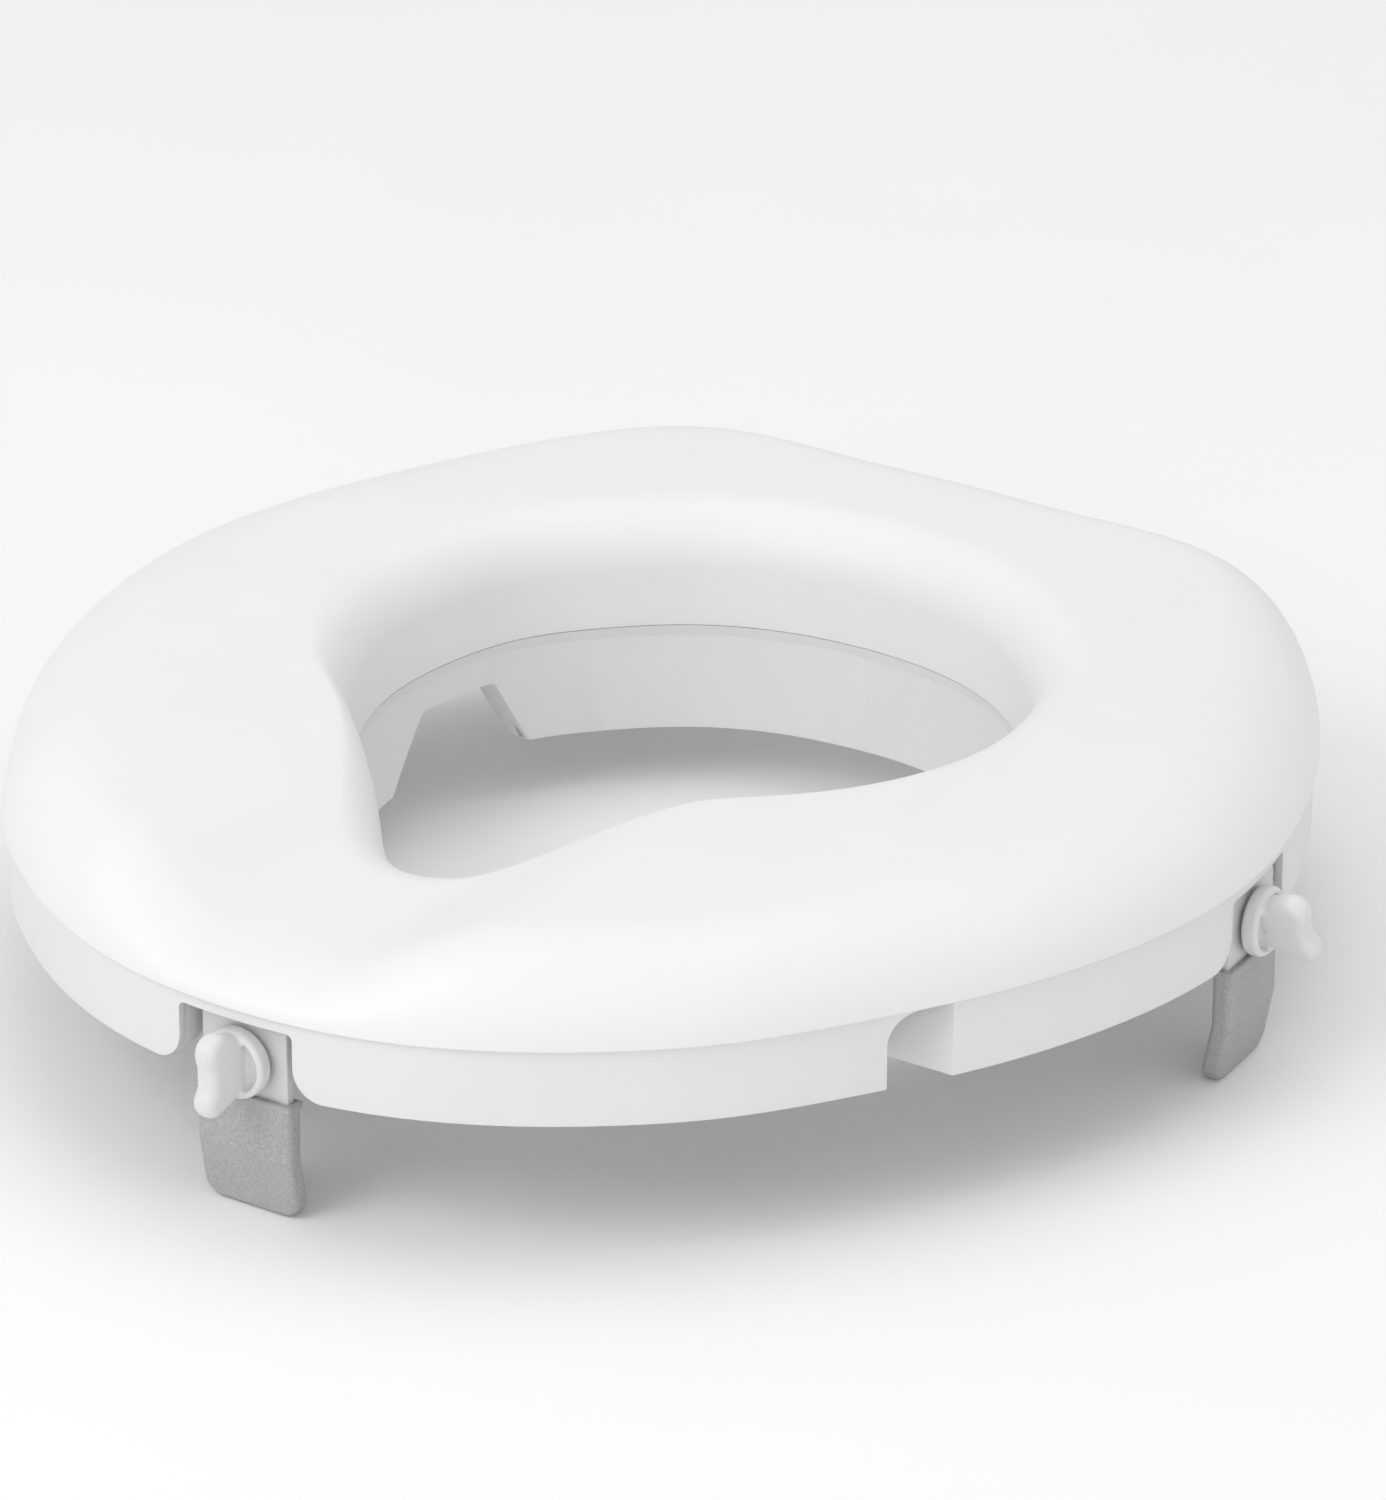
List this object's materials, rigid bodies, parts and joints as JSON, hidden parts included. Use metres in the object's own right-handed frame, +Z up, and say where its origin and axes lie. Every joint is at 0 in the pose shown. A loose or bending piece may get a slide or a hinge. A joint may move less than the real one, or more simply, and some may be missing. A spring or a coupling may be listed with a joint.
{
  "type": "raised toilet seat",
  "caption": "Low raised toilet seat: smooth two-shell ring with an egg-shaped opening and a front dip, held to the bowl's rim by sliding brackets with rubber sleeves and thumb knobs.",
  "frame": {"origin": "centre of the bounding box's bottom face, in the plane that the three clamp ends touch when the seat stands on a table", "axes": "+X to the sitter's left, +Y to the back, +Z up"},
  "size_m": [0.3998, 0.3975, 0.0898],
  "materials": {
    "seat_plastic": "satin white, moulded",
    "base_plastic": "satin white, moulded",
    "knob_plastic": "satin white, moulded",
    "bracket_metal": "light grey coated steel",
    "sleeve_rubber": "mid grey moulded rubber, fine grain",
    "buffer_rubber": "light grey rubber",
    "fastener_steel": "zinc plated",
    "block_plastic": "light grey moulded nylon"
  },
  "bodies": {
    "seat": {"seat_shell": "seat_plastic", "base_ring": "base_plastic", "assembly_screws": "fastener_steel", "guide_screws": "fastener_steel", "rim_buffer_back_left": "buffer_rubber", "rim_buffer_back_right": "buffer_rubber", "rim_buffer_front_left": "buffer_rubber", "rim_buffer_front_right": "buffer_rubber", "captive_nut_front": "fastener_steel", "captive_nut_left": "fastener_steel", "captive_nut_right": "fastener_steel", "guide_block_front": "block_plastic", "guide_block_left": "block_plastic", "guide_block_right": "block_plastic"},
    "clamp_front": {"bracket_front": "bracket_metal", "sleeve_front": "sleeve_rubber"},
    "knob_turn_front": {"knob_front": "knob_plastic", "clamp_screw_front": "fastener_steel", "washer_front": "fastener_steel", "retaining_clip_front": "fastener_steel"},
    "clamp_left": {"bracket_left": "bracket_metal", "sleeve_left": "sleeve_rubber"},
    "knob_turn_left": {"knob_left": "knob_plastic", "clamp_screw_left": "fastener_steel", "washer_left": "fastener_steel", "retaining_clip_left": "fastener_steel"},
    "clamp_right": {"bracket_right": "bracket_metal", "sleeve_right": "sleeve_rubber"},
    "knob_turn_right": {"knob_right": "knob_plastic", "clamp_screw_right": "fastener_steel", "washer_right": "fastener_steel", "retaining_clip_right": "fastener_steel"}
  },
  "joints": [
    {"name": "clamp_slide_front", "type": "slide", "parent": "seat", "child": "clamp_front", "axis": [0, -1, 0], "range_m": [-0.008, 0.014]},
    {"name": "knob_spin_front", "type": "hinge", "parent": "clamp_front", "child": "knob_turn_front", "pos_m": [0, -0.17875, 0.0461], "axis": [0, -1, 0], "range_deg": [-1440, 2520]},
    {"name": "clamp_slide_left", "type": "slide", "parent": "seat", "child": "clamp_left", "axis": [0.9962, 0.0872, 0], "range_m": [-0.008, 0.014]},
    {"name": "knob_spin_left", "type": "hinge", "parent": "clamp_left", "child": "knob_turn_left", "pos_m": [0.18, 0.04625, 0.0461], "axis": [0.9962, 0.0872, 0], "range_deg": [-1440, 2520]},
    {"name": "clamp_slide_right", "type": "slide", "parent": "seat", "child": "clamp_right", "axis": [-0.9962, 0.0872, 0], "range_m": [-0.008, 0.014]},
    {"name": "knob_spin_right", "type": "hinge", "parent": "clamp_right", "child": "knob_turn_right", "pos_m": [-0.18, 0.04625, 0.0461], "axis": [-0.9962, 0.0872, 0], "range_deg": [-1440, 2520]}
  ],
  "couplings": [
    {"joint": "knob_spin_front", "follows": "clamp_slide_front", "rad_per_m": 3141.6},
    {"joint": "knob_spin_left", "follows": "clamp_slide_left", "rad_per_m": 3141.6},
    {"joint": "knob_spin_right", "follows": "clamp_slide_right", "rad_per_m": 3141.6}
  ]
}
